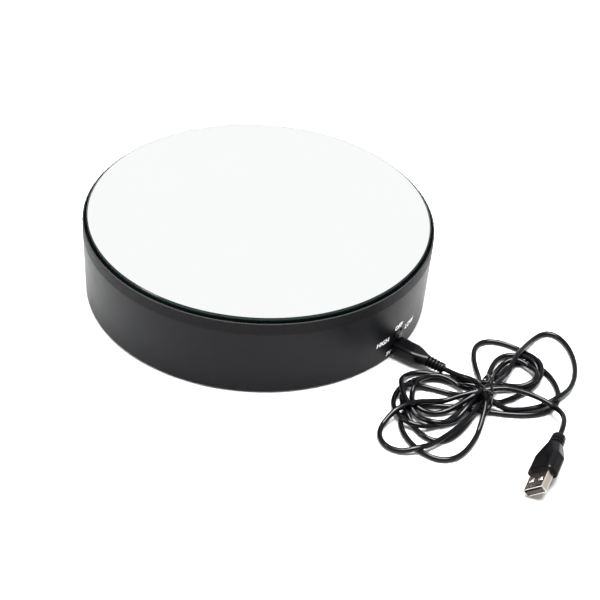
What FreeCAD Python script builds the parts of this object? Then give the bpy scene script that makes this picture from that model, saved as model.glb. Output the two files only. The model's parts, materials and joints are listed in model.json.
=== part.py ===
"""Turntable display stand: a mirror-topped drum turned by a small geared motor.

Millimetres, +Z up. The origin is on the surface that the stand rests on, under the
spindle. The switch and the socket face -Y.
"""
import FreeCAD, Part
import math
import os

os.makedirs("parts", exist_ok=True)

V = FreeCAD.Vector
UP = V(0, 0, 1)
OUT = V(0, -1, 0)

# ---- driving dimensions -------------------------------------------------------------
OVERALL_R = 100.0            # radius of the band round the top
OVERALL_H = 50.0             # floor to mirror
FOOT_PROUD = 1.0             # how far the feet lift the drum
BASE_R = 98.5                # radius of the wall at its lower edge
BAND_Z = 40.7                # where the tapered wall meets the upright band
RIM_Z = 47.8                 # top of the thin rim
RIM_WALL = 0.8
WALL = 2.2
DECK_LOW = 33.5
DECK_TOP = 36.0

MIRROR_R = 97.7
MIRROR_T = 3.0
TAPE_T = 0.2
PLATTER_R = 97.2
PLATTER_TOP = OVERALL_H - MIRROR_T - TAPE_T
PLATTER_LOW = 44.3
TRACK_Z = 42.5
HUB_LOW = 38.4

SPINDLE_R = 3.0
SPINDLE_LOW = 16.5
SPINDLE_TOP = 45.1
FLAT_X = 2.5                 # distance from the spindle's axis to its flat
RUN = 0.05                   # radial running clearance of a shaft
PUSH = 0.02                  # radial clearance of a push fit

ROLLER_RING = 82.0
ROLLER_R = 5.0
ROLLER_W = 5.0
ROLLER_PIN_R = 1.0
ROLLER_AXIS_Z = TRACK_Z - 0.3 - ROLLER_R
ROLLER_ANGLES = (45, 135, 225, 315)
EAR_T = 2.0

MODULE = 0.5
WHEEL_TEETH = 48
PINION_TEETH = 12
OUTPUT_TEETH = 72
WHEEL_ADDENDUM = 0.36
PINION_ADDENDUM = 0.45
DEDENDUM = 0.6
BACKLASH = 0.08              # how much thinner than half a pitch each tooth is
PRESSURE = math.radians(20)
STEP = MODULE * (WHEEL_TEETH + PINION_TEETH) / 2
LAST_STEP = MODULE * (OUTPUT_TEETH + PINION_TEETH) / 2
GEAR_PIN_R = 1.0
LEVELS = ((17.8, 20.5), (21.0, 24.0), (24.5, 27.5), (28.0, 31.0))

PLATE_LOW = 15.5
PLATE_TOP = 17.5
CASE_ROOF = 31.5
MOTOR_R = 12.2
MOTOR_LOW = 3.3
MOTOR_SHAFT_R = 0.75

COVER_LOW = FOOT_PROUD
COVER_TOP = 3.0
POST_RING = 62.0
POST_ANGLES = (0, 90, 180, 270)
FOOT_RING = 78.0
FOOT_R = 7.0

BOARD_FRONT = -90.6
BOARD_T = 1.6
SOCKET_Z = 6.4
SWITCH_Z = 14.7
SWITCH_TRAVEL = 2.0
KNOB_TIP_Y = -101.2

PLUG_FACE_Y = -99.1
PLUG_END_Y = -120.3
RELIEF_END_Y = -130.3
CORD_R = 1.5

USB_TIP = V(-52.0, -219.0, 6.4)
USB_DIRECTION = V(-0.974, -0.227, -0.09)
USB_ROLL = 41.0              # turn of the wide face about the plug's own axis
USB_SHELL = 12.5
USB_WIDE = 12.5
USB_TAPER = 8.5
USB_BOOT = 8.5


def at_angle(radius, degrees, z=0.0):
    """A point on a circle about the origin."""
    a = math.radians(degrees)
    return V(radius * math.cos(a), radius * math.sin(a), z)


def rod(radius, low, high, x=0.0, y=0.0):
    """An upright cylinder."""
    return Part.makeCylinder(radius, high - low, V(x, y, low), UP)


def ring(inner, outer, low, high, x=0.0, y=0.0):
    """An upright tube."""
    return rod(outer, low, high, x, y).cut(rod(inner, low - 1, high + 1, x, y))


def block(x0, x1, y0, y1, z0, z1):
    """A box between two corners."""
    return Part.makeBox(x1 - x0, y1 - y0, z1 - z0, V(x0, y0, z0))


def fuse(shapes):
    """One shape from several that touch."""
    first = shapes[0]
    return first.multiFuse(list(shapes[1:])).removeSplitter()


def turned(points):
    """The solid that a closed (radius, height) outline makes when it turns about Z."""
    outline = Part.makePolygon([V(r, 0, z) for r, z in points] + [V(points[0][0], 0, points[0][1])])
    return Part.Face(outline).revolve(V(0, 0, 0), UP, 360)


def rounded(width, height, corner):
    """A rounded rectangle about the origin in the XY plane, as a wire."""
    w, h = width / 2, height / 2
    edges = []
    spots = ((w, h, 0), (-w, h, 90), (-w, -h, 180), (w, -h, 270))
    for i, (x, y, start) in enumerate(spots):
        cx = x - math.copysign(corner, x)
        cy = y - math.copysign(corner, y)
        nx, ny, nstart = spots[(i + 1) % 4]
        ncx = nx - math.copysign(corner, nx)
        ncy = ny - math.copysign(corner, ny)
        points = [V(cx + corner * math.cos(math.radians(start + t)),
                    cy + corner * math.sin(math.radians(start + t)), 0) for t in (0, 45, 90)]
        follow = V(ncx + corner * math.cos(math.radians(nstart)),
                   ncy + corner * math.sin(math.radians(nstart)), 0)
        edges.append(Part.Arc(*points).toShape())
        edges.append(Part.LineSegment(points[2], follow).toShape())
    return Part.Wire(edges)


def placed(shape, origin, x_axis, y_axis):
    """A copy of a shape with its own X and Y axes laid along the given directions."""
    z_axis = x_axis.cross(y_axis)
    turn = FreeCAD.Rotation(x_axis, y_axis, z_axis, "ZXY")
    moved = shape.copy()
    moved.Placement = FreeCAD.Placement(origin, turn)
    return moved


def prism(width, height, corner, x, z, y_back, y_front):
    """A rounded bar along Y, from y_back out to y_front."""
    wire = placed(rounded(width, height, corner), V(x, y_back, z), V(1, 0, 0), V(0, 0, 1))
    return Part.Face(wire).extrude(V(0, y_front - y_back, 0))


def involute_gear(teeth, addendum, low, high, x, y, tooth_at):
    """A spur gear with one tooth centred on the direction tooth_at, in degrees.

    Each flank is one arc through three points of the involute, and runs straight in
    from the base circle to the root.
    """
    pitch = MODULE * teeth / 2
    base = pitch * math.cos(PRESSURE)
    tip = pitch + addendum
    root = pitch - DEDENDUM
    half = math.pi / (2 * teeth) - BACKLASH / (2 * pitch)
    at_pitch = math.tan(PRESSURE) - PRESSURE

    def flank(radius):
        """Half the tooth's angle at a radius."""
        lean = math.acos(min(1.0, base / radius))
        return half + at_pitch - (math.tan(lean) - lean)

    start = max(base, root)
    radii = (start, (start + tip) / 2, tip)
    edges = []
    for k in range(teeth):
        middle = math.radians(tooth_at) + 2 * math.pi * k / teeth
        following = middle + 2 * math.pi / teeth

        def spot(radius, angle):
            return V(x + radius * math.cos(angle), y + radius * math.sin(angle), low)

        rise = [spot(r, middle - flank(r)) for r in radii]
        fall = [spot(r, middle + flank(r)) for r in reversed(radii)]
        gap_from = middle + flank(start)
        gap_to = following - flank(start)
        gap_middle = (gap_from + gap_to) / 2
        edges.append(Part.Arc(*rise).toShape())
        edges.append(Part.Arc(rise[2], spot(tip, middle), fall[0]).toShape())
        edges.append(Part.Arc(*fall).toShape())
        if start > root:
            edges.append(Part.LineSegment(fall[2], spot(root, gap_from)).toShape())
        edges.append(Part.Arc(spot(root, gap_from), spot(root, gap_middle), spot(root, gap_to)).toShape())
        if start > root:
            edges.append(Part.LineSegment(spot(root, gap_to), spot(start, gap_to)).toShape())
    return Part.Face(Part.Wire(edges)).extrude(V(0, 0, high - low))


def bent_tube(points, radius):
    """A tube of straight runs joined by tangent arcs, each as large as its runs allow."""
    edges = []
    here = points[0]
    radii = []
    for before, corner, after in zip(points, points[1:], points[2:]):
        run_in = corner - before
        run_out = after - corner
        turn = run_in.getAngle(run_out)
        reach = 0.45 * min(run_in.Length, run_out.Length)
        bend = reach / math.tan(turn / 2)
        radii.append(bend)
        into = V(run_in).normalize()
        away = V(run_out).normalize()
        first = corner - into * reach
        last = corner + away * reach
        inwards = (away - into).normalize()
        middle = corner + inwards * (bend / math.cos(turn / 2) - bend)
        edges.append(Part.LineSegment(here, first).toShape())
        edges.append(Part.Arc(first, middle, last).toShape())
        here = last
    edges.append(Part.LineSegment(here, points[-1]).toShape())
    path = Part.Wire(edges)
    section = Part.Wire(Part.Circle(points[0], points[1] - points[0], radius).toShape())
    tube = path.makePipeShell([section], True, False)
    ratio = tube.Volume / (math.pi * radius ** 2 * path.Length)
    print("cord tube %.1f mm long, volume ratio %.3f, bend radii %s"
          % (path.Length, ratio, " ".join("%.1f" % r for r in radii)))
    return tube


# ---- gear train layout ----------------------------------------------------------------
def step_from(start, distance, degrees):
    """The next gear centre in the train."""
    return start + at_angle(distance, degrees)


THIRD_AT = step_from(V(0, 0, 0), LAST_STEP, 0)
SECOND_AT = step_from(THIRD_AT, STEP, 105)
FIRST_AT = step_from(SECOND_AT, STEP, 110)
MOTOR_AT = step_from(FIRST_AT, STEP, 160)
LUGS = (V(-17, -16.5, 0), V(29, -15, 0), V(30, 25.5, 0), V(-13.5, 20.5, 0))


def make_wheel_and_pinion(centre, wheel_level, pinion_level, wheel_meets, pinion_meets, hub_low, hub_top):
    """A compound gear. The wheel has a gap, and the pinion a tooth, towards its mate."""
    wheel_low, wheel_top = wheel_level
    half_pitch = 180.0 / WHEEL_TEETH
    wheel = involute_gear(WHEEL_TEETH, WHEEL_ADDENDUM, wheel_low, wheel_top,
                          centre.x, centre.y, wheel_meets + half_pitch)
    dish = ring(4.5, 10.5, wheel_low - 1, wheel_low + 0.7, centre.x, centre.y)
    pinion = involute_gear(PINION_TEETH, PINION_ADDENDUM, wheel_top, pinion_level[1],
                           centre.x, centre.y, pinion_meets)
    hub = rod(1.9, hub_low, hub_top, centre.x, centre.y)
    bore = rod(GEAR_PIN_R + RUN, hub_low - 1, hub_top + 1, centre.x, centre.y)
    return fuse([wheel.cut(dish), pinion, hub]).cut(bore)


def make_first_gear():
    return make_wheel_and_pinion(FIRST_AT, LEVELS[0], LEVELS[1], 160, 110 + 180, LEVELS[0][0], 31.2)


def make_second_gear():
    return make_wheel_and_pinion(SECOND_AT, LEVELS[1], LEVELS[2], 110, 105 + 180, 17.8, 31.2)


def make_third_gear():
    return make_wheel_and_pinion(THIRD_AT, LEVELS[2], LEVELS[3], 105, 180, 17.8, 31.2)


def make_output_gear():
    low, high = LEVELS[3]
    gear = involute_gear(OUTPUT_TEETH, WHEEL_ADDENDUM, low, high, 0, 0, 180.0 / OUTPUT_TEETH)
    web = ring(6.5, 16.0, high - 0.8, high + 1)
    hub = rod(5.5, 24.0, low)
    bore = rod(SPINDLE_R + PUSH, 20.0, high + 1)
    key = block(FLAT_X + PUSH, SPINDLE_R + 1, -4, 4, low, high)
    return fuse([gear.cut(web), hub]).cut(bore.cut(key))


def make_motor_pinion():
    low, high = LEVELS[0]
    pinion = involute_gear(PINION_TEETH, PINION_ADDENDUM, low, high, MOTOR_AT.x, MOTOR_AT.y, 160 + 180)
    return pinion.cut(rod(MOTOR_SHAFT_R, low - 1, high + 1, MOTOR_AT.x, MOTOR_AT.y))


def gearbox_outline(low, high, extra):
    """Upright prism that follows the gears, with extra room round each."""
    tip_wheel = MODULE * WHEEL_TEETH / 2 + WHEEL_ADDENDUM
    tip_output = MODULE * OUTPUT_TEETH / 2 + WHEEL_ADDENDUM
    prisms = [rod(tip_output + extra, low, high)]
    for centre in (THIRD_AT, SECOND_AT, FIRST_AT):
        prisms.append(rod(tip_wheel + extra, low, high, centre.x, centre.y))
    return prisms


def lug_holes(low, high):
    return [rod(1.15, low, high, lug.x, lug.y) for lug in LUGS]


def make_gearbox_case():
    outside = gearbox_outline(PLATE_TOP, DECK_LOW, 2.9)
    outside.append(rod(MOTOR_R, PLATE_TOP, DECK_LOW, MOTOR_AT.x, MOTOR_AT.y))
    outside += [rod(4.0, PLATE_TOP, DECK_LOW, lug.x, lug.y) for lug in LUGS]
    inside = gearbox_outline(PLATE_TOP - 1, CASE_ROOF, 1.0)
    inside.append(rod(4.6, PLATE_TOP - 1, CASE_ROOF, MOTOR_AT.x, MOTOR_AT.y))
    case = fuse(outside).cut(fuse(inside))
    case = case.cut(rod(SPINDLE_R + 0.5, CASE_ROOF - 1, DECK_LOW + 1))
    for centre in (THIRD_AT, SECOND_AT, FIRST_AT):
        case = case.cut(rod(GEAR_PIN_R + PUSH, CASE_ROOF - 1, CASE_ROOF + 1.5, centre.x, centre.y))
    for hole in lug_holes(PLATE_TOP - 1, DECK_LOW + 1):
        case = case.cut(hole)
    return case


def motor_screw_spots():
    return [step_from(MOTOR_AT, 8.0, turn) for turn in (70, 250)]


def make_gearbox_plate():
    outside = gearbox_outline(PLATE_LOW, PLATE_TOP, 2.9)
    outside.append(rod(MOTOR_R, PLATE_LOW, PLATE_TOP, MOTOR_AT.x, MOTOR_AT.y))
    outside += [rod(4.0, PLATE_LOW, PLATE_TOP, lug.x, lug.y) for lug in LUGS]
    plate = fuse(outside)
    holes = [rod(5.0, PLATE_LOW - 1, PLATE_TOP + 1)]
    holes.append(rod(1.6, PLATE_LOW - 1, PLATE_TOP + 1, MOTOR_AT.x, MOTOR_AT.y))
    for centre in (THIRD_AT, SECOND_AT, FIRST_AT):
        holes.append(rod(GEAR_PIN_R + PUSH, PLATE_LOW + 0.3, PLATE_TOP + 1, centre.x, centre.y))
    for spot in motor_screw_spots():
        holes.append(rod(1.02, PLATE_LOW - 1, PLATE_TOP + 1, spot.x, spot.y))
        holes.append(rod(2.0, PLATE_TOP - 1.0, PLATE_TOP + 1, spot.x, spot.y))
    holes += lug_holes(PLATE_LOW - 1, PLATE_TOP + 1)
    for hole in holes:
        plate = plate.cut(hole)
    return plate


def cross_slot(z, x, y, size, depth):
    """The cross recess of a screw head, cut upwards or downwards from z."""
    low, high = sorted((z - depth, z + depth))
    long_way = block(x - size, x + size, y - size / 5, y + size / 5, low, high)
    short_way = block(x - size / 5, x + size / 5, y - size, y + size, low, high)
    return fuse([long_way, short_way])


def make_gearbox_screws():
    screws = []
    for lug in LUGS:
        head = rod(2.2, PLATE_LOW - 1.6, PLATE_LOW, lug.x, lug.y)
        shank = rod(1.0, PLATE_LOW, DECK_TOP - 0.8, lug.x, lug.y)
        slot = cross_slot(PLATE_LOW - 1.6, lug.x, lug.y, 1.2, 0.8)
        screws.append(fuse([head, shank]).cut(slot))
    return Part.Compound(screws)


def make_gear_pins():
    pins = []
    for centre in (THIRD_AT, SECOND_AT, FIRST_AT):
        pins.append(rod(GEAR_PIN_R, PLATE_LOW + 0.35, CASE_ROOF + 1.4, centre.x, centre.y))
    return Part.Compound(pins)


def make_motor_can():
    x, y = MOTOR_AT.x, MOTOR_AT.y
    can = rod(MOTOR_R, MOTOR_LOW + 2.0, PLATE_LOW, x, y)
    can = can.cut(rod(MOTOR_R - 0.7, MOTOR_LOW + 1.0, PLATE_LOW - 0.9, x, y))
    can = can.cut(rod(MOTOR_SHAFT_R + RUN, PLATE_LOW - 2, PLATE_LOW + 1, x, y))
    for spot in motor_screw_spots():
        can = can.cut(rod(1.02, PLATE_LOW - 2, PLATE_LOW + 1, spot.x, spot.y))
    return can


def make_motor_end_cap():
    x, y = MOTOR_AT.x, MOTOR_AT.y
    cap = rod(MOTOR_R, MOTOR_LOW, MOTOR_LOW + 2.0, x, y)
    boss = rod(3.0, MOTOR_LOW + 2.0, MOTOR_LOW + 2.8, x, y)
    bore = rod(MOTOR_SHAFT_R + RUN, MOTOR_LOW + 0.6, MOTOR_LOW + 4, x, y)
    return fuse([cap, boss]).cut(bore)


def make_motor_magnets():
    x, y = MOTOR_AT.x, MOTOR_AT.y
    hoop = ring(9.4, MOTOR_R - 0.75, MOTOR_LOW + 3.4, PLATE_LOW - 1.6, x, y)
    return hoop.cut(block(x - 2.5, x + 2.5, y - 20, y + 20, 0, 20))


def make_motor_armature():
    x, y = MOTOR_AT.x, MOTOR_AT.y
    low, high = MOTOR_LOW + 3.8, PLATE_LOW - 2.0
    core = rod(9.0, low, high, x, y)
    for k in range(3):
        slot = block(5.0, 10.0, -1.0, 1.0, low - 1, high + 1)
        slot.rotate(V(0, 0, 0), UP, 120 * k + 30)
        slot.translate(V(x, y, 0))
        core = core.cut(slot)
    return core.cut(rod(MOTOR_SHAFT_R, low - 1, high + 1, x, y))


def make_motor_shaft():
    return rod(MOTOR_SHAFT_R, MOTOR_LOW + 0.8, LEVELS[0][1], MOTOR_AT.x, MOTOR_AT.y)


def make_motor_screws():
    screws = []
    for spot in motor_screw_spots():
        head = rod(1.9, PLATE_TOP - 1.0, PLATE_TOP, spot.x, spot.y)
        shank = rod(1.0, PLATE_LOW - 0.85, PLATE_TOP - 1.0, spot.x, spot.y)
        screws.append(fuse([head, shank]))
    return Part.Compound(screws)


# ---- drum ----------------------------------------------------------------------------
def wall_radius(z):
    """Outside radius of the drum at a height."""
    if z >= BAND_Z:
        return OVERALL_R
    return BASE_R + (OVERALL_R - BASE_R) * (z - FOOT_PROUD) / (BAND_Z - FOOT_PROUD)


def make_casing():
    bush_r = 5.0
    rim_in = OVERALL_R - RIM_WALL
    band_in = OVERALL_R - WALL + 0.1
    outline = [(bush_r, DECK_LOW), (wall_radius(DECK_LOW) - WALL, DECK_LOW), (BASE_R - WALL, FOOT_PROUD),
               (BASE_R - 0.3, FOOT_PROUD), (BASE_R, FOOT_PROUD + 0.4), (OVERALL_R, BAND_Z),
               (OVERALL_R, RIM_Z - 0.25), (OVERALL_R - 0.2, RIM_Z), (rim_in + 0.15, RIM_Z),
               (rim_in, RIM_Z - 0.2), (rim_in, BAND_Z + 1.3), (band_in, BAND_Z), (band_in, DECK_TOP),
               (bush_r, DECK_TOP)]
    drum = turned(outline)
    added = []
    for angle in POST_ANGLES:
        centre = at_angle(POST_RING, angle)
        added.append(rod(4.0, COVER_TOP, DECK_LOW + 1, centre.x, centre.y))
    for angle in ROLLER_ANGLES:
        for side in (-1, 1):
            inner = ROLLER_RING + side * (ROLLER_W / 2 + 1.0 + EAR_T / 2) - EAR_T / 2
            ear = block(inner, inner + EAR_T, -4, 4, DECK_TOP - 1, ROLLER_AXIS_Z + 1.8)
            ear.rotate(V(0, 0, 0), UP, angle)
            added.append(ear)
    for side in (-1, 1):
        x = side * 11.5
        added.append(block(x - 2.5, x + 2.5, -96.3, BOARD_FRONT, 16.5, 21.5))
    drum = fuse([drum] + added)

    cuts = []
    for angle in ROLLER_ANGLES:
        pocket = block(ROLLER_RING - ROLLER_W / 2 - 1, ROLLER_RING + ROLLER_W / 2 + 1, -6, 6,
                       DECK_LOW - 1, DECK_TOP + 1)
        slot_r = ROLLER_PIN_R + PUSH
        slot = Part.makeCylinder(slot_r, 14, V(ROLLER_RING - 7, 0, ROLLER_AXIS_Z), V(1, 0, 0))
        mouth = block(ROLLER_RING - 7, ROLLER_RING + 7, -slot_r, slot_r, ROLLER_AXIS_Z, ROLLER_AXIS_Z + 4)
        for cut in (pocket, slot, mouth):
            cut.rotate(V(0, 0, 0), UP, angle)
            cuts.append(cut)
    for lug in LUGS:
        cuts.append(rod(1.02, DECK_LOW - 1, DECK_TOP - 0.5, lug.x, lug.y))
    for angle in POST_ANGLES:
        centre = at_angle(POST_RING, angle)
        cuts.append(rod(1.47, COVER_TOP - 1, 14.0, centre.x, centre.y))
    for side in (-1, 1):
        cuts.append(Part.makeCylinder(1.02, 4.7, V(side * 11.5, BOARD_FRONT + 0.1, 19), OUT))
    knob_w = 3.4
    cuts.append(prism(knob_w + 2 * SWITCH_TRAVEL + 1.0, 4.0, 0.6, 0, SWITCH_Z, -94.0, -103.0))
    cuts.append(prism(9.0, 4.2, 1.2, 0, SOCKET_Z, -94.0, -103.0))
    for cut in cuts:
        drum = drum.cut(cut)
    return drum


def make_base_cover():
    cover = rod(BASE_R - WALL - 0.2, COVER_LOW, COVER_TOP)
    cover = cover.cut(ring(88.5, 90.0, COVER_LOW - 1, COVER_LOW + 0.4))
    for angle in POST_ANGLES:
        centre = at_angle(POST_RING, angle)
        cover = cover.cut(rod(1.6, 0, COVER_TOP + 1, centre.x, centre.y))
        cover = cover.cut(rod(3.1, 0, COVER_LOW + 1.2, centre.x, centre.y))
    for angle in ROLLER_ANGLES:
        centre = at_angle(FOOT_RING, angle)
        cover = cover.cut(rod(FOOT_R + 0.1, 0, COVER_LOW + 0.5, centre.x, centre.y))
    return cover


def make_cover_screws():
    screws = []
    for angle in POST_ANGLES:
        centre = at_angle(POST_RING, angle)
        head = rod(2.8, COVER_LOW + 0.1, COVER_LOW + 1.2, centre.x, centre.y)
        shank = rod(1.45, COVER_LOW + 1.2, 12.0, centre.x, centre.y)
        slot = cross_slot(COVER_LOW + 0.1, centre.x, centre.y, 1.6, 0.6)
        screws.append(fuse([head, shank]).cut(slot))
    return Part.Compound(screws)


def make_rubber_feet():
    feet = []
    for angle in ROLLER_ANGLES:
        centre = at_angle(FOOT_RING, angle)
        foot = rod(FOOT_R, 0, COVER_LOW + 0.5, centre.x, centre.y)
        underside = [edge for edge in foot.Edges if edge.BoundBox.ZMax < 0.01]
        feet.append(foot.makeFillet(0.4, underside))
    return Part.Compound(feet)


# ---- platter and spindle -------------------------------------------------------------
def spindle_bore(radius, low, high):
    """A D-shaped hole for the spindle."""
    key = block(FLAT_X + radius - SPINDLE_R, SPINDLE_R + 1, -4, 4, low, high)
    return rod(radius, low, high).cut(key)


def make_platter():
    plate = rod(PLATTER_R, PLATTER_LOW, PLATTER_TOP)
    hub = rod(10.0, HUB_LOW, PLATTER_LOW)
    rim = ring(PLATTER_R - 2.5, PLATTER_R, 42.8, PLATTER_LOW)
    track = ring(ROLLER_RING - 4.5, ROLLER_RING + 4.5, TRACK_Z, PLATTER_LOW)
    middle = ring(45.0, 46.8, 42.8, PLATTER_LOW)
    ribs = []
    for k in range(12):
        rib = block(9.0, PLATTER_R - 2.0, -0.8, 0.8, 42.8, PLATTER_LOW + 0.2)
        rib.rotate(V(0, 0, 0), UP, 30 * k + 15)
        ribs.append(rib)
    platter = fuse([plate, hub, rim, track, middle] + ribs)
    platter = platter.cut(spindle_bore(SPINDLE_R + PUSH, HUB_LOW - 1, PLATTER_TOP + 1))
    return platter.cut(rod(7.0, SPINDLE_TOP + 0.1, PLATTER_TOP + 1))


def make_spindle():
    shaft = rod(SPINDLE_R, SPINDLE_LOW, SPINDLE_TOP)
    for low, high in (LEVELS[3], (HUB_LOW - 0.1, SPINDLE_TOP)):
        shaft = shaft.cut(block(FLAT_X, SPINDLE_R + 1, -4, 4, low - 0.1, high + 0.1))
    return shaft.cut(rod(1.5, 37.0, SPINDLE_TOP + 1))


def make_hub_washer():
    return ring(1.6, 6.0, SPINDLE_TOP + 0.1, SPINDLE_TOP + 0.7)


def make_hub_screw():
    head = rod(2.9, SPINDLE_TOP + 0.7, PLATTER_TOP - 0.05)
    shank = rod(1.48, 38.0, SPINDLE_TOP + 0.7)
    return fuse([head, shank]).cut(cross_slot(PLATTER_TOP - 0.05, 0, 0, 1.5, 0.5))


def make_mirror_disc():
    glass = rod(MIRROR_R, OVERALL_H - MIRROR_T, OVERALL_H)
    rims = [e for e in glass.Edges if e.Length > 100 and abs(e.CenterOfMass.x) < 0.1]
    return glass.makeChamfer(0.3, rims)


def make_mirror_tape():
    return ring(8.0, PLATTER_R - 1.0, PLATTER_TOP, PLATTER_TOP + TAPE_T)


def make_upper_bush():
    bush = fuse([rod(5.0, DECK_LOW, DECK_TOP), rod(8.0, DECK_TOP, DECK_TOP + 1.4)])
    return bush.cut(rod(SPINDLE_R + RUN, DECK_LOW - 1, DECK_TOP + 3))


def make_lower_bush():
    bush = fuse([rod(5.0, PLATE_LOW, PLATE_TOP), rod(7.0, PLATE_TOP, PLATE_TOP + 1.2)])
    return bush.cut(rod(SPINDLE_R + RUN, PLATE_LOW + 0.6, PLATE_TOP + 3))


def make_thrust_washer():
    return ring(SPINDLE_R + 0.2, 7.5, DECK_TOP + 1.4, DECK_TOP + 2.1)


def make_roller(angle):
    near_end = V(ROLLER_RING - ROLLER_W / 2, 0, ROLLER_AXIS_Z)
    body = Part.makeCylinder(ROLLER_R, ROLLER_W, near_end, V(1, 0, 0))
    rims = [e for e in body.Edges if len(e.Vertexes) == 1]
    body = body.makeFillet(0.5, rims)
    bore = Part.makeCylinder(ROLLER_PIN_R + RUN, ROLLER_W + 2, near_end - V(1, 0, 0), V(1, 0, 0))
    roller = body.cut(bore)
    roller.rotate(V(0, 0, 0), UP, angle)
    return roller


def make_roller_pins():
    pins = []
    length = ROLLER_W + 2 + 2 * EAR_T
    near_end = V(ROLLER_RING - length / 2, 0, ROLLER_AXIS_Z)
    for angle in ROLLER_ANGLES:
        pin = Part.makeCylinder(ROLLER_PIN_R, length, near_end, V(1, 0, 0))
        pin.rotate(V(0, 0, 0), UP, angle)
        pins.append(pin)
    return Part.Compound(pins)


# ---- electrics -----------------------------------------------------------------------
def make_circuit_board():
    board = block(-16, 16, BOARD_FRONT, BOARD_FRONT + BOARD_T, 3.8, 22)
    for side in (-1, 1):
        board = board.cut(Part.makeCylinder(1.1, 4, V(side * 11.5, BOARD_FRONT + 3, 19), OUT))
    return board


def make_board_screws():
    screws = []
    back = BOARD_FRONT + BOARD_T
    for side in (-1, 1):
        head = Part.makeCylinder(2.0, 1.3, V(side * 11.5, back + 1.3, 19), OUT)
        shank = Part.makeCylinder(1.0, 6.0, V(side * 11.5, back, 19), OUT)
        screws.append(fuse([head, shank]))
    return Part.Compound(screws)


def make_board_components():
    back = BOARD_FRONT + BOARD_T
    chip = block(-2.5, 2.5, back, back + 1.6, 12.0, 17.0)
    dropper = block(-9.0, -5.8, back, back + 1.1, 8.0, 9.6)
    diode = block(6.0, 10.3, back, back + 2.2, 7.0, 9.7)
    capacitor = Part.makeCylinder(2.5, 6.0, V(-9.5, back, 13.0), V(0, 1, 0))
    return Part.Compound([chip, dropper, diode, capacitor])


def make_switch_body():
    body = block(-4.4, 4.4, -95.4, BOARD_FRONT, SWITCH_Z - 2.3, SWITCH_Z + 2.3)
    reach = SWITCH_TRAVEL + 1.4
    return body.cut(block(-reach, reach, -96, -92.6, SWITCH_Z - 1.2, SWITCH_Z + 1.2))


def make_switch_knob():
    cap = prism(3.4, 3.2, 0.3, 0, SWITCH_Z, -95.8, KNOB_TIP_Y)
    stem = block(-1.0, 1.0, -95.9, -93.0, SWITCH_Z - 1.0, SWITCH_Z + 1.0)
    return fuse([cap, stem])


def make_usb_socket():
    shell = prism(7.7, 3.0, 0.9, 0, SOCKET_Z, BOARD_FRONT, -96.1)
    return shell.cut(prism(7.2, 2.5, 0.7, 0, SOCKET_Z, BOARD_FRONT - 0.5, -97))


def make_socket_tongue():
    return block(-1.9, 1.9, -95.4, BOARD_FRONT - 0.5, SOCKET_Z - 0.3, SOCKET_Z + 0.3)


def make_motor_wires():
    """Two wires from the board to the tags on the motor's end cap, clear of the gearbox."""
    wires = []
    for side in (-1, 1):
        points = [V(side * 3 - 6, BOARD_FRONT + BOARD_T + 0.15, 6.0), V(side * 3 - 8, -78, 6.0),
                  V(side * 3 - 30, -55, 6.5), V(side * 3 - 38, -25, 7.0), V(side * 3 - 36, 8, 7.0),
                  V(side * 3 - 26, 30 - side * 2, 6.4), V(MOTOR_AT.x - MOTOR_R - 0.3, 34 - side * 2, 4.9)]
        wires.append(bent_tube(points, 0.55))
    return Part.Compound(wires)


# ---- lead ----------------------------------------------------------------------------
def make_micro_plug_body():
    sections = ((PLUG_FACE_Y, 10.5, 8.0, 1.8), (-111.0, 10.2, 7.6, 2.0), (PLUG_END_Y, 6.0, 5.6, 2.4))
    wires = []
    for y, width, height, corner in sections:
        wires.append(placed(rounded(width, height, corner), V(0, y, SOCKET_Z), V(1, 0, 0), V(0, 0, 1)))
    body = Part.makeLoft(wires, True, True)
    relief = Part.makeCone(3.1, 2.7, PLUG_END_Y - RELIEF_END_Y, V(0, PLUG_END_Y, SOCKET_Z), OUT)
    for k in range(4):
        y = PLUG_END_Y - 1.5 - 2.2 * k
        groove = Part.makeCylinder(4, 0.9, V(0, y, SOCKET_Z), OUT)
        groove = groove.cut(Part.makeCylinder(2.0, 0.9, V(0, y, SOCKET_Z), OUT))
        relief = relief.cut(groove)
    return fuse([body, relief])


def make_micro_plug_shell():
    shell = prism(6.85, 1.8, 0.6, 0, SOCKET_Z, -93.4, PLUG_FACE_Y)
    return shell.cut(prism(6.35, 1.3, 0.4, 0, SOCKET_Z, -92, -98.6))


def usb_place(shape):
    """Lays a plug drawn along +X, tip at the origin, where the plug lies on the floor."""
    along = V(USB_DIRECTION).normalize()
    level = UP.cross(along).normalize()
    roll = FreeCAD.Rotation(along, USB_ROLL)
    across = roll.multVec(level)
    return placed(shape, USB_TIP, along, across)


def usb_section(x, width, height, corner):
    """A rounded rectangle across the plug at a distance behind its tip."""
    return placed(rounded(width, height, corner), V(x, 0, 0), V(0, 1, 0), V(0, 0, 1))


USB_FRONT_X = -USB_SHELL
USB_SHOULDER_X = USB_FRONT_X - USB_WIDE
USB_NECK_X = USB_SHOULDER_X - USB_TAPER
USB_END_X = USB_NECK_X - USB_BOOT


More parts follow.
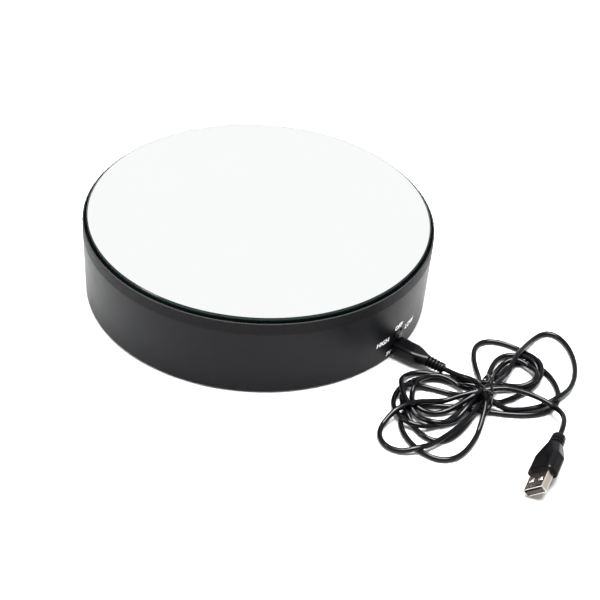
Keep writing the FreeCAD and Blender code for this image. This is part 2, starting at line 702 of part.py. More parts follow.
def make_usb_a_body():
    front = usb_section(USB_FRONT_X, 15.2, 8.2, 2.2)
    edge = usb_section(USB_FRONT_X - 1, 15.6, 8.6, 2.4)
    shoulder = usb_section(USB_SHOULDER_X, 15.6, 8.6, 2.6)
    neck = usb_section(USB_NECK_X, 9.6, 8.2, 3.6)
    wide = Part.makeLoft([front, edge, shoulder, neck], True, True)
    back = V(-1, 0, 0)
    boot = Part.makeCone(4.3, 3.8, USB_BOOT, V(USB_NECK_X, 0, 0), back)
    end = [rim for rim in boot.Edges if rim.BoundBox.XMax < USB_END_X + 0.01]
    boot = boot.makeFillet(1.4, end)
    for k in range(2):
        start = V(USB_NECK_X - 0.9 - 2.4 * k, 0, 0)
        groove = Part.makeCylinder(6, 0.9, start, back)
        boot = boot.cut(groove.cut(Part.makeCylinder(3.4, 0.9, start, back)))
    return usb_place(fuse([wide, boot]))


def make_usb_a_shell():
    width, height, wall = 12.0, 4.5, 0.35
    outside = Part.Face(usb_section(0, width, height, 0.5)).extrude(V(USB_FRONT_X, 0, 0))
    mouth = usb_section(1, width - 2 * wall, height - 2 * wall, 0.3)
    inside = Part.Face(mouth).extrude(V(USB_FRONT_X - 0.4, 0, 0))
    shell = outside.cut(inside)
    for side in (-1, 1):
        window = block(-7.6, -5.2, side * 2.9 - 1.1, side * 2.9 + 1.1, 1, 4)
        shell = shell.cut(window)
    return usb_place(shell)


def make_usb_a_tongue():
    return usb_place(block(USB_FRONT_X + 0.6, -0.6, -5.5, 5.5, -1.85, 0.1))


HANK_OUTLINE = ((2, -146), (-5, -137), (-9, -125), (-14, -116.5), (-21, -114.5), (-30, -117), (-40, -121),
                (-54, -125), (-66, -132), (-71, -146), (-63, -160), (-57, -171), (-44, -177), (-26, -175),
                (-12, -170), (-5, -178), (2, -187), (10, -193), (20, -195), (32, -195), (44, -193),
                (58, -186), (69, -176), (74, -160), (65, -146), (49, -138), (40, -130), (27, -131),
                (15, -138), (8, -146))
HANK_LOW = 0.05
HANK_H = 9.0
WAIST = V(-3, -160, 7.35)           # middle of the tie
WAIST_ACROSS = V(0.81, 0.5864, 0)   # along the tie
WAIST_STRANDS = V(0.5864, -0.81, 0)
WAIST_W = 25.6
WAIST_H = 12.5
WAIST_BAR = 22
TIE_T = 1.0
TIE_W = 1.6
TIE_GAP = 0.05                      # each side of the tie, in its groove


def across_waist(width, height, corner, start, length):
    """A rounded bar through the waist of the hank, along its strands."""
    wire = rounded(width, height, corner)
    wire = placed(wire, WAIST + WAIST_STRANDS * start, WAIST_ACROSS, V(0, 0, 1))
    return Part.Face(wire).extrude(WAIST_STRANDS * length)


def make_cord_hank():
    curve = Part.BSplineCurve()
    curve.interpolate([V(x, y, HANK_LOW) for x, y in HANK_OUTLINE], PeriodicFlag=True)
    slab = Part.Face(Part.Wire(curve.toShape())).extrude(V(0, 0, HANK_H - HANK_LOW))
    waist = across_waist(WAIST_W, WAIST_H, 5.0, -WAIST_BAR / 2, WAIST_BAR)
    half = TIE_W / 2 + TIE_GAP
    groove = across_waist(6 * WAIST_W, 6 * WAIST_H, 5.0, -half, 2 * half)
    groove = groove.cut(across_waist(WAIST_W, WAIST_H, 5.0, -2 * half, 4 * half))
    return fuse([slab, waist]).cut(groove)


def make_hank_tie():
    outside = across_waist(WAIST_W + 2 * TIE_T, WAIST_H + 2 * TIE_T, 6.0, -TIE_W / 2, TIE_W)
    return outside.cut(across_waist(WAIST_W, WAIST_H, 5.0, -TIE_W, 2 * TIE_W))


def make_lead_in_cord():
    points = [V(0, RELIEF_END_Y, SOCKET_Z), V(0, -138.6, SOCKET_Z)]
    points += [V(0.8, -145.0, 7.4), V(-0.2, -152.0, 8.6)]
    return bent_tube(points, CORD_R)


def make_lead_out_cord():
    along = V(USB_DIRECTION).normalize()
    boot_end = USB_TIP + along * USB_END_X
    points = [V(12.2, -183.8, 7.4), V(13.0, -193.0, 5.8), V(8.0, -201.4, 8.2)]
    points += [boot_end - along * 9.5, boot_end]
    return bent_tube(points, CORD_R)


# ---- every piece, by node ------------------------------------------------------------
PIECES = {
    "casing": make_casing,
    "base_cover": make_base_cover,
    "cover_screws": make_cover_screws,
    "rubber_feet": make_rubber_feet,
    "platter": make_platter,
    "mirror_disc": make_mirror_disc,
    "mirror_tape": make_mirror_tape,
    "hub_screw": make_hub_screw,
    "hub_washer": make_hub_washer,
    "spindle": make_spindle,
    "upper_bush": make_upper_bush,
    "lower_bush": make_lower_bush,
    "thrust_washer": make_thrust_washer,
    "output_gear": make_output_gear,
    "third_gear": make_third_gear,
    "second_gear": make_second_gear,
    "first_gear": make_first_gear,
    "motor_pinion": make_motor_pinion,
    "gear_pins": make_gear_pins,
    "gearbox_case": make_gearbox_case,
    "gearbox_plate": make_gearbox_plate,
    "gearbox_screws": make_gearbox_screws,
    "motor_can": make_motor_can,
    "motor_end_cap": make_motor_end_cap,
    "motor_magnets": make_motor_magnets,
    "motor_armature": make_motor_armature,
    "motor_shaft": make_motor_shaft,
    "motor_screws": make_motor_screws,
    "motor_wires": make_motor_wires,
    "roller_pins": make_roller_pins,
    "circuit_board": make_circuit_board,
    "board_screws": make_board_screws,
    "board_components": make_board_components,
    "switch_body": make_switch_body,
    "switch_knob": make_switch_knob,
    "usb_socket": make_usb_socket,
    "socket_tongue": make_socket_tongue,
    "micro_plug_body": make_micro_plug_body,
    "micro_plug_shell": make_micro_plug_shell,
    "lead_in_cord": make_lead_in_cord,
    "cord_hank": make_cord_hank,
    "hank_tie": make_hank_tie,
    "lead_out_cord": make_lead_out_cord,
    "usb_a_body": make_usb_a_body,
    "usb_a_shell": make_usb_a_shell,
    "usb_a_tongue": make_usb_a_tongue,
}

for node, make in PIECES.items():
    make().exportStep("parts/" + node + ".step")

for number, roller_angle in enumerate(ROLLER_ANGLES, start=1):
    make_roller(roller_angle).exportStep("parts/roller_" + str(number) + ".step")
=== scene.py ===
import json
import math

import bmesh
import bpy
import numpy as np
from bpy.props import FloatProperty, FloatVectorProperty, IntProperty
from mathutils import Euler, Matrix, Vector


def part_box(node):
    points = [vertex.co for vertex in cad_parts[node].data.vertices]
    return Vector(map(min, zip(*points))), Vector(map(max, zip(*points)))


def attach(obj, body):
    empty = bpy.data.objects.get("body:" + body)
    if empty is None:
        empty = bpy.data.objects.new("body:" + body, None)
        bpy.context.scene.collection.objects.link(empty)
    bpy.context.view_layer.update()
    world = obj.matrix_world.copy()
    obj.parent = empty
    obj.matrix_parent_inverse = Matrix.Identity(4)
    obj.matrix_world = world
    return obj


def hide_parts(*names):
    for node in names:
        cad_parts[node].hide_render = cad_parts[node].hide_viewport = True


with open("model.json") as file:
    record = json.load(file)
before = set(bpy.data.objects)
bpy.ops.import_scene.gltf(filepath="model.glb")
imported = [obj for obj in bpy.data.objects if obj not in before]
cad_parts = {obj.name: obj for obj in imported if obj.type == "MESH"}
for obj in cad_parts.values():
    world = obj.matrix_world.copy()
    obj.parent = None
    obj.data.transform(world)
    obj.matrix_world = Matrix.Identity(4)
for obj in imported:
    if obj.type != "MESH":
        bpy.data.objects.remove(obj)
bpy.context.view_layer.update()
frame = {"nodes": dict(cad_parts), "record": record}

bl_info = {
    "name": "Mirror display stand",
    "version": (1, 0, 0),
    "blender": (4, 5, 0),
    "location": "3D View > Sidebar > Display stand",
    "description": "Finishes, printed words, USB lead and studio for a motorised mirror display stand",
    "category": "Object",
}

NODES = frame["nodes"]
SLOT_OF = {s["node"]: s["material_slot"] for s in frame["record"]["subparts"]}
MM = 0.001
MIRROR_LOW, MIRROR_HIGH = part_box("mirror_disc")

# The drum's outer wall, radius against height: foot, foot of the band, rim.
WALL_HEIGHTS = (0.001, 0.0407, 0.0478)
WALL_RADII = (0.0985, 0.100, 0.100)

# The lead where it isn't coiled: from the micro plug to the hank, and from the hank to the USB-A plug. That
# plug's tip, the way it points, its length, and how far the lead runs straight behind it.
LEAD_IN = ((0.0, -0.1303, 0.0064), (0.0, -0.1386, 0.0064), (0.0008, -0.1450, 0.0074),
           (-0.0002, -0.1520, 0.0086), (-0.0044, -0.1592, 0.0092), (-0.0112, -0.1652, 0.0086))
PLUG_TIP = np.array((-0.0520, -0.2190, 0.0064))
PLUG_ALONG = np.array((-0.970095, -0.226090, -0.089639))
PLUG_LENGTH = 0.0420
STRAIGHT = 0.0095
BOOT_END = PLUG_TIP - PLUG_ALONG * PLUG_LENGTH
LEAD_OUT = ((0.0024, -0.1648, 0.0105), (0.0086, -0.1740, 0.0090), (0.0122, -0.1838, 0.0074),
            (0.0130, -0.1930, 0.0058), (0.0080, -0.2014, 0.0082),
            tuple(BOOT_END - PLUG_ALONG * STRAIGHT), tuple(BOOT_END))

# The waist of the hank and the line across it under the tie, in millimetres; and for each turn in order
# its heading in degrees, its reach, its width and its bend. A negative width goes round the other way.
WAIST = np.array((-3.0, -160.0))
ACROSS_WAIST = np.array((0.81, 0.586))
TURNS = ((157, 50, 42, 1), (-26, 46, -34, 6), (146, 48, 46, 7), (-10, 40, -28, 4), (136, 51, 40, 3),
         (9, 51, -38, 3), (144, 46, 43, -1), (-18, 36, -28, 6), (112, 40, 35, 2), (-26, 72, -40, 31),
         (160, 68, 27, 0))
# How far along that line the strand crosses it before each turn, and after the last one.
WAIST_PLACES = (-11, -9, 2, 8, 4, -5, 7, 10, -1, -8, -3, 1.5)
# How much of a turn is left out at its two ends, so that the strand swings over from one turn to the next, and
# how much of the first turn, where the lead-in joins it.
SHY = 0.035
FIRST_SHY = 0.08
# In diameters: how close strands lie where they cross, as the soft jackets press together, and how far apart
# along the lead two points must be for one to lie over the other.
NESTING = 0.88
APART = 3
# How often the heights are worked out, how wide their last easing is in humps, how many points are worked out
# for each control point, and how far the lead is held off the floor.
ROUNDS = 60
EASING = 0.6
FINENESS = 4
LEAD_CLEARANCE = 0.0001

# The wire tie: its width across the waist, its height, how far its top leans along the strands, where it starts
# and how far it goes round in degrees, and the power that squares its corners.
TIE_WIDTH = 0.0275
TIE_HEIGHT = 0.0125
TIE_LEAN = 0.005
TIE_FROM, TIE_ROUND = 118, 352
TIE_CORNERS = 0.75
# Its tail of two twisted wires: its length, the way it points, how many turns they make, and how far along they
# stop turning and start to part; its droop, in lengths; and how far each is from the middle and how fast it
# parts from it, in thicknesses of the wire.
TAIL_LENGTH = 0.009
TAIL_ALONG = (-0.25, 0.35, 0.45)
TAIL_TWISTS = 2.6
TWISTED_TO, FLARED_FROM = 0.8, 0.75
TAIL_DROOP = 0.35
TAIL_APART, TAIL_FLARE = 0.52, 6.4
UP = np.array((0.0, 0.0, 1.0))

# The USB-A plug: how far it is rolled about its length, half the thickness of its tongue, and the middles of
# the two sprung dimples in its shell: behind the tip, either side of the middle, and above it.
PLUG_ROLL = math.radians(41)
TONGUE_HALF = 0.000975
DIMPLE_BACK, DIMPLE_SIDE, DIMPLE_UP = 0.0064, 0.0029, 0.00175
DIMPLE_LENGTH, DIMPLE_HALF_WIDTH = 0.0022, 0.0010
# The contacts on the tongue: the place of each across it and its length; their half width and their arch.
CONTACTS = ((-0.0035, 0.0074), (-0.001, 0.0064), (0.001, 0.0064), (0.0035, 0.0074))
CONTACT_HALF_WIDTH, CONTACT_ARCH = 0.00045, 0.00018

# The micro plug's overmould: how far behind its face it begins to neck in and its relief begins; the relief's
# ribs, radius, taper and depth of groove; and the face's eased edge: its length, how much narrower it makes the
# face, and the power n of the boxy section.
NECK_FROM = 0.0119
RELIEF_FROM = 0.0212
RIBS = 5
RELIEF_RADIUS, RELIEF_TAPER, GROOVE_DEPTH = 0.0033, 0.0004, 0.0009
FACE_EASE, FACE_NARROWER, FACE_POWER = 0.0006, 0.10, 5.0

# Each printed word: its name, what it says, its place round the wall in degrees from the socket, its height
# above the floor and its size against the rest. A capital is about 0.7 of the type size.
WORDS = (("word_off", "OFF", 0.1, 0.0194, 1.0), ("word_high", "HIGH", -7.6, 0.0150, 1.0),
         ("word_low", "LOW", 7.2, 0.0145, 1.0), ("word_socket", "5V", -3.9, 0.0044, 0.85))
CAPITAL_SHARE = 0.70
# How far the ink spreads past the letters' outlines and clears the wall, and how far the letters slant.
INK_SPREAD = 0.00008
INK_GAP = 0.00002
SLANT = 0.12

# The drum's finish: where its upright band begins, the colour of the painted shade on the band, how much of it
# shows and how much rougher the band is; and the height above which a painted highlight lightens the top of the
# rim, and its colour.
BAND_FROM = WALL_HEIGHTS[1]
BAND_SHADE_COLOUR = (0.0008, 0.0008, 0.0010, 1)
BAND_COVER, BAND_ROUGHER = 0.7, 0.14
RIM_HIGHLIGHT_FROM = 0.0476
RIM_HIGHLIGHT_COLOUR = (0.0150, 0.0152, 0.0160, 1)

# The clear border round the mirror's silver; and places up its cut edge from the foot, with the strength of the
# green there: painted shade makes the glass nearly black low down, green higher up, and black again at its top
# arris.
CLEAR_BORDER = 0.0007
EDGE_SHADE_STOPS = ((0.0, 0.02), (0.50, 0.03), (0.62, 0.6), (0.84, 1.1), (0.92, 0.15), (0.97, 0.08))

# The studio's lamps: name, place and width. The sines of the elevations where the walls reach their full light
# and where the ceiling light begins and is full. The floor's rings and spokes.
LAMPS = (("key", (0.30, 0.25, 1.25), 0.20), ("fill", (-0.75, 0.55, 0.75), 0.24))
WALLS_FULL = 0.32
CEILING_FROM, CEILING_FULL = 0.92, 0.97
FLOOR_RINGS = (0.0001, 0.4, 1.2, 3.0)
FLOOR_SPOKES = 64

# The kinds of socket in the shader groups.
COLOUR, NUMBER, VECTOR = "NodeSocketColor", "NodeSocketFloat", "NodeSocketVector"


# -------------------- settings

class StandSettings(bpy.types.PropertyGroup):
    drum_colour: FloatVectorProperty(
        name="Drum colour", description="Moulded plastic of the drum", subtype="COLOR",
        size=3, min=0.0, max=1.0, default=(0.0042, 0.0043, 0.0056))
    mirror_colour: FloatVectorProperty(
        name="Mirror colour", description="Silvering of the glass", subtype="COLOR",
        size=3, min=0.0, max=1.0, default=(0.955, 0.965, 0.960))
    glass_edge_colour: FloatVectorProperty(
        name="Glass edge colour", description="Green tint in the cut edge of the glass", subtype="COLOR",
        size=3, min=0.0, max=1.0, default=(0.020, 0.034, 0.031))
    ink_colour: FloatVectorProperty(
        name="Ink colour", description="Printed words on the wall", subtype="COLOR",
        size=3, min=0.0, max=1.0, default=(0.86, 0.86, 0.86))
    word_height: FloatProperty(
        name="Word height", description="Height of the printed capitals", unit="LENGTH",
        min=0.001, max=0.01, default=0.0029)
    ink_thickness: FloatProperty(
        name="Ink thickness", description="How far the ink stands proud of the wall", unit="LENGTH",
        min=0.00001, max=0.0005, default=0.00008)


class LeadSettings(bpy.types.PropertyGroup):
    diameter: FloatProperty(
        name="Lead diameter", description="Outside of the jacket", unit="LENGTH",
        min=0.001, max=0.008, default=0.003)
    points_per_turn: IntProperty(
        name="Points per turn", description="Control points in each turn of the hank",
        min=12, max=60, default=26)
    hump: FloatProperty(
        name="Hump length", description="How far along a strand the hump over a crossing spreads",
        unit="LENGTH", min=0.002, max=0.03, default=0.0065)
    jacket_colour: FloatVectorProperty(
        name="Jacket colour", description="Glossy jacket of the lead", subtype="COLOR",
        size=3, min=0.0, max=1.0, default=(0.0007, 0.0007, 0.0010))
    tie_wire: FloatProperty(
        name="Tie thickness", description="Thickness of the wire tie", unit="LENGTH",
        min=0.0004, max=0.003, default=0.0011)


class StudioSettings(bpy.types.PropertyGroup):
    camera_place: FloatVectorProperty(
        name="Camera place", description="Where the camera stands", subtype="TRANSLATION",
        size=3, default=(-0.6392, -0.4665, 0.5846))
    camera_heading: FloatVectorProperty(
        name="Camera heading", description="Which way it looks", subtype="DIRECTION",
        size=3, default=(0.6615, 0.4495, -0.6004))
    camera_roll: FloatProperty(
        name="Camera roll", description="Turn about its own line of sight", subtype="ANGLE",
        default=math.radians(4.292))
    focal_length: FloatProperty(
        name="Focal length", description="On a sensor 36 mm wide", default=100.7, min=10.0, max=300.0)
    horizon: FloatProperty(
        name="Horizon light", description="Strength of the white room near the floor", default=0.55, min=0.0)
    sky: FloatProperty(
        name="Room light", description="Strength of the white walls that the mirror shows",
        default=0.985, min=0.0)
    ceiling: FloatProperty(
        name="Ceiling light", description="Strength of the big soft light overhead", default=48.0, min=0.0)
    key_power: FloatProperty(
        name="Key power", description="Power of the lamp behind the stand, in watts", default=14.0, min=0.0)
    fill_power: FloatProperty(
        name="Fill power", description="Power of the lamp to the left, in watts", default=5.0, min=0.0)
    floor_colour: FloatVectorProperty(
        name="Floor colour", description="Plain pale floor", subtype="COLOR",
        size=3, min=0.0, max=1.0, default=(0.38, 0.38, 0.38))


# -------------------- mesh helpers

def ring_faces(rows, columns):
    """Quads of a tube of points: each joins two neighbours in a ring with the two in the ring after."""
    i = np.arange(rows - 1)[:, None]
    j = np.arange(columns)[None, :]
    after = (j + 1) % columns
    corners = (i * columns + j, i * columns + after, (i + 1) * columns + after, (i + 1) * columns + j)
    return np.stack(np.broadcast_arrays(*corners), axis=-1).reshape(-1, 4).tolist()


def capped(rows, columns):
    """The quads of a tube of points, and a cap on each end."""
    last = (rows - 1) * columns
    return ring_faces(rows, columns) + [list(range(columns))[::-1], list(range(last, last + columns))]


def added(name, data):
    """A new object in the scene."""
    thing = bpy.data.objects.new(name, data)
    bpy.context.scene.collection.objects.link(thing)
    return thing


def make_piece(name, points, faces, material, body):
    """One mesh piece from points and faces, facing outwards, smooth, riding on a body."""
    mesh = bpy.data.meshes.new(name)
    mesh.from_pydata(np.asarray(points, float).reshape(-1, 3).tolist(), [], faces)
    mesh.validate()
    solid = bmesh.new()
    solid.from_mesh(mesh)
    if solid.calc_volume(signed=True) < 0:
        mesh.flip_normals()
    solid.free()
    mesh.shade_smooth()
    mesh.materials.append(material)
    piece = added(name, mesh)
    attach(piece, body)
    return piece


def swept(path, radius, across, sides, flat=1.0):
    """A round or flattened section carried along a path. At each point of the path the section's plane is
    square to the path, with one axis along the path's direction crossed with a fixed one. Both ends are
    capped."""
    path = np.asarray(path, float)
    radius = np.broadcast_to(np.asarray(radius, float), len(path))
    along = np.gradient(path, axis=0)
    along /= np.linalg.norm(along, axis=1, keepdims=True)
    side = np.cross(along, np.asarray(across, float))
    side /= np.linalg.norm(side, axis=1, keepdims=True)
    up = np.cross(side, along)
    turn = np.linspace(0, 2 * np.pi, sides, endpoint=False)
    points = (path[:, None] + radius[:, None, None] * (
        np.cos(turn)[None, :, None] * side[:, None] + flat * np.sin(turn)[None, :, None] * up[:, None]))
    return points.reshape(-1, 3), capped(len(path), sides)


def squared(wave, power):
    """A cosine or a sine to a power, with its sign kept: it squares the corners of a round section."""
    return np.sign(wave) * np.abs(wave) ** power


def smooth(t):
    """A smooth step from 0 to 1, level at both ends."""
    return t * t * (3 - 2 * t)


def across_to(loop):
    """The direction square to a flat loop: the cross product of two of its chords."""
    normal = np.cross(loop[len(loop) // 4] - loop[0], loop[len(loop) // 2] - loop[0])
    return normal / np.linalg.norm(normal)


def wall_radius(height):
    """The drum wall's radius at a height, straight between the foot, the band and the rim."""
    return np.interp(height, WALL_HEIGHTS, WALL_RADII)


def plug_axes():
    """The directions across and square to the wide face of the USB-A plug, rolled about its length."""
    level = UP - PLUG_ALONG * (UP @ PLUG_ALONG)
    level /= np.linalg.norm(level)
    across = math.cos(PLUG_ROLL) * np.cross(level, PLUG_ALONG) + math.sin(PLUG_ROLL) * level
    return across, np.cross(PLUG_ALONG, across)


def joined(parts):
    """Several shapes in one mesh: their points in one list, and each one's faces counted on from the last."""
    points, faces, start = [], [], 0
    for part_points, part_faces in parts:
        points.append(part_points)
        faces += [[v + start for v in face] for face in part_faces]
        start += len(part_points)
    return np.concatenate(points), faces


# -------------------- node groups

def new_group(name, inputs, outputs):
    """An empty shader group with the named sockets."""
    group = bpy.data.node_groups.new(name, "ShaderNodeTree")
    for label, kind, default in inputs:
        socket = group.interface.new_socket(label, in_out="INPUT", socket_type=kind)
        socket.default_value = default
    for label, kind in outputs:
        group.interface.new_socket(label, in_out="OUTPUT", socket_type=kind)
    return group, group.nodes.new("NodeGroupInput"), group.nodes.new("NodeGroupOutput")


def wire(tree, *pairs):
    """Links from outputs to inputs."""
    for source, target in pairs:
        tree.links.new(source, target)


def maths(tree, operation, first, second=None, third=None, clamp=False):
    """A Math node whose inputs are sockets or plain numbers."""
    node = tree.nodes.new("ShaderNodeMath")
    node.operation = operation
    node.use_clamp = clamp
    for k, value in enumerate((first, second, third)):
        if value is None:
            continue
        if isinstance(value, (int, float)):
            node.inputs[k].default_value = value
        else:
            tree.links.new(value, node.inputs[k])
    return node.outputs[0]


def noise(tree, vector, scale, detail, roughness=0.5):
    """A Noise texture's value, its scale a socket or a plain number."""
    node = tree.nodes.new("ShaderNodeTexNoise")
    node.inputs["Detail"].default_value = detail
    node.inputs["Roughness"].default_value = roughness
    tree.links.new(vector, node.inputs["Vector"])
    if isinstance(scale, (int, float)):
        node.inputs["Scale"].default_value = scale
    else:
        tree.links.new(scale, node.inputs["Scale"])
    return node.outputs["Fac"]


def object_place(tree):
    return tree.nodes.new("ShaderNodeTexCoord").outputs["Object"]


def facing(tree):
    return tree.nodes.new("ShaderNodeNewGeometry").outputs["Normal"]


def parts_of(tree, vector):
    """The X, Y and Z of a vector."""
    node = tree.nodes.new("ShaderNodeSeparateXYZ")
    tree.links.new(vector, node.inputs[0])
    return node.outputs


def mixed(tree, factor, first, second):
    """Two colours mixed by a factor, each a socket or a plain value."""
    node = tree.nodes.new("ShaderNodeMix")
    node.data_type = "RGBA"
    for label, value in (("Factor", factor), ("A", first), ("B", second)):
        socket = node.inputs[label]
        if isinstance(value, bpy.types.NodeSocket):
            tree.links.new(value, socket)
        else:
            socket.default_value = value
    return node.outputs["Result"]


def mould_grain():
    """Spark-eroded mould surface: fine grain in the height, slow drift in colour and roughness."""
    group, inside, out = new_group(
        "mould_grain",
        (("Colour", COLOUR, (0.02, 0.02, 0.02, 1)), ("Drift", NUMBER, 0.2), ("Roughness", NUMBER, 0.4),
         ("Roughness Drift", NUMBER, 0.06), ("Grain Scale", NUMBER, 2500.0)),
        (("Colour", COLOUR), ("Roughness", NUMBER), ("Height", NUMBER)))
    place = object_place(group)
    fine = noise(group, place, inside.outputs["Grain Scale"], detail=3.0, roughness=0.6)
    slow = noise(group, place, scale=26.0, detail=3.0)
    smear = noise(group, place, scale=140.0, detail=4.0, roughness=0.7)
    swing = maths(group, "SUBTRACT", slow, 0.5)
    lighter = maths(group, "MULTIPLY_ADD", swing, inside.outputs["Drift"], 1.0)
    shade = group.nodes.new("ShaderNodeVectorMath")
    shade.operation = "SCALE"
    wire(group, (inside.outputs["Colour"], shade.inputs[0]), (lighter, shade.inputs["Scale"]))
    rough_swing = maths(group, "SUBTRACT", smear, 0.5)
    rough = maths(group, "MULTIPLY_ADD", rough_swing, inside.outputs["Roughness Drift"],
                  inside.outputs["Roughness"], clamp=True)
    wire(group, (shade.outputs[0], out.inputs["Colour"]), (rough, out.inputs["Roughness"]),
         (fine, out.inputs["Height"]))
    return group


def fine_dust():
    """A trace of pale dust on faces that look up: specks where a fine noise is high, and a film between."""
    speck_from, speck_edge, film_share = 0.62, 9.0, 0.4
    group, inside, out = new_group(
        "fine_dust",
        (("Colour", COLOUR, (0.02, 0.02, 0.02, 1)), ("Dust", COLOUR, (0.35, 0.34, 0.33, 1)),
         ("Amount", NUMBER, 0.1), ("Speck Scale", NUMBER, 900.0)),
        (("Colour", COLOUR), ("Mask", NUMBER)))
    place = object_place(group)
    up = maths(group, "MAXIMUM", parts_of(group, facing(group))["Z"], 0.0)
    fine = noise(group, place, inside.outputs["Speck Scale"], detail=2.0, roughness=0.7)
    specks = maths(group, "MULTIPLY", maths(group, "SUBTRACT", fine, speck_from), speck_edge, clamp=True)
    film = maths(group, "MULTIPLY_ADD", noise(group, place, scale=60.0, detail=3.0), film_share, specks)
    settled = maths(group, "MULTIPLY", film, up)
    mask = maths(group, "MULTIPLY", settled, inside.outputs["Amount"], clamp=True)
    colour = mixed(group, mask, inside.outputs["Colour"], inside.outputs["Dust"])
    wire(group, (colour, out.inputs["Colour"]), (mask, out.inputs["Mask"]))
    return group


def turned_metal():
    """Plated or turned metal: faint stretched lines in roughness and height, slow tarnish in the colour."""
    line_roughness = 0.18
    group, inside, out = new_group(
        "turned_metal",
        (("Colour", COLOUR, (0.7, 0.7, 0.7, 1)), ("Tarnish", COLOUR, (0.4, 0.35, 0.3, 1)),
         ("Tarnish Amount", NUMBER, 0.15), ("Roughness", NUMBER, 0.25), ("Line Scale", NUMBER, 900.0),
         ("Stretch", VECTOR, (1.0, 1.0, 0.05))),
        (("Colour", COLOUR), ("Roughness", NUMBER), ("Height", NUMBER)))
    place = object_place(group)
    stretched = group.nodes.new("ShaderNodeVectorMath")
    stretched.operation = "MULTIPLY"
    wire(group, (place, stretched.inputs[0]), (inside.outputs["Stretch"], stretched.inputs[1]))
    lines = noise(group, stretched.outputs[0], inside.outputs["Line Scale"], detail=3.0, roughness=0.6)
    cloud = noise(group, place, scale=220.0, detail=4.0, roughness=0.65)
    amount = maths(group, "MULTIPLY", cloud, inside.outputs["Tarnish Amount"], clamp=True)
    colour = mixed(group, amount, inside.outputs["Colour"], inside.outputs["Tarnish"])
    rough = maths(group, "MULTIPLY_ADD", maths(group, "SUBTRACT", lines, 0.5), line_roughness,
                  inside.outputs["Roughness"], clamp=True)
    wire(group, (colour, out.inputs["Colour"]), (rough, out.inputs["Roughness"]),
         (lines, out.inputs["Height"]))
    return group


GROUP_MAKERS = {"mould_grain": mould_grain, "fine_dust": fine_dust, "turned_metal": turned_metal}


def placed(tree, name, **values):
    """A group placed in a material with its own values; an underscore stands for a space."""
    node = tree.nodes.new("ShaderNodeGroup")
    node.node_tree = bpy.data.node_groups.get(name) or GROUP_MAKERS[name]()
    for label, value in values.items():
        node.inputs[label.replace("_", " ")].default_value = value
    return node


# -------------------- materials

def blank_material(name):
    """A new material, its node tree and its shader."""
    material = bpy.data.materials.new(name)
    material.use_nodes = True
    return material, material.node_tree, material.node_tree.nodes["Principled BSDF"]


def bump(tree, shader, height, distance):
    """A Bump node from a height to the shader's normal."""
    node = tree.nodes.new("ShaderNodeBump")
    node.inputs["Distance"].default_value = distance
    node.inputs["Strength"].default_value = 1.0
    wire(tree, (height, node.inputs["Height"]), (node.outputs["Normal"], shader.inputs["Normal"]))


def plastic(name, colour, roughness, grain=2500.0, depth=0.00001, drift=0.25, dust=0.03, coat=0.0,
            specular=0.5):
    """Moulded plastic or rubber: mould grain, slow drift and a trace of dust."""
    material, tree, shader = blank_material(name)
    skin = placed(tree, "mould_grain", Colour=(*colour, 1), Drift=drift, Roughness=roughness,
                  Roughness_Drift=0.12, Grain_Scale=grain)
    dusty = placed(tree, "fine_dust", Amount=dust)
    wire(tree, (skin.outputs["Colour"], dusty.inputs["Colour"]),
         (dusty.outputs["Colour"], shader.inputs["Base Color"]),
         (skin.outputs["Roughness"], shader.inputs["Roughness"]))
    bump(tree, shader, skin.outputs["Height"], depth)
    shader.inputs["Specular IOR Level"].default_value = specular
    if coat:
        shader.inputs["Coat Weight"].default_value = coat
        shader.inputs["Coat Roughness"].default_value = 0.12
    return material


def metal(name, colour, roughness, tarnish=(0.35, 0.32, 0.30), amount=0.2, lines=900.0,
          stretch=(1.0, 1.0, 0.05), depth=0.000004):
    """Plated, ground or turned metal."""
    material, tree, shader = blank_material(name)
    skin = placed(tree, "turned_metal", Colour=(*colour, 1), Tarnish=(*tarnish, 1), Tarnish_Amount=amount,
                  Roughness=roughness, Line_Scale=lines, Stretch=stretch)
    wire(tree, (skin.outputs["Colour"], shader.inputs["Base Color"]),
         (skin.outputs["Roughness"], shader.inputs["Roughness"]))
    shader.inputs["Metallic"].default_value = 1.0
    bump(tree, shader, skin.outputs["Height"], depth)
    return material


def dress(material, *names):
    """Give CAD nodes a finish through their objects' own material slots."""
    for name in names:
        node = NODES[name]
        for slot in node.material_slots:
            slot.link = "OBJECT"
            slot.material = material


# -------------------- special finishes

def lead_jacket(colour):
    """Glossy soft jacket, its gloss uneven from handling."""
    return plastic("lead_jacket_finish", tuple(colour), 0.10, grain=1800.0, depth=0.000003, drift=0.5,
                   dust=0.002, specular=0.14)


def overmould():
    """Satin black mould round both plugs."""
    return bpy.data.materials.get("overmould_finish") or plastic(
        "overmould_finish", (0.0008, 0.0008, 0.0011), 0.24, grain=2600.0, depth=0.000012, drift=0.5,
        dust=0.004, specular=0.10)


def printed_ink(colour):
    """White pad-printed ink, a little thin in places."""
    return plastic("printed_ink_finish", tuple(colour), 0.5, grain=3500.0, depth=0.00002, drift=0.12,
                   dust=0.0)


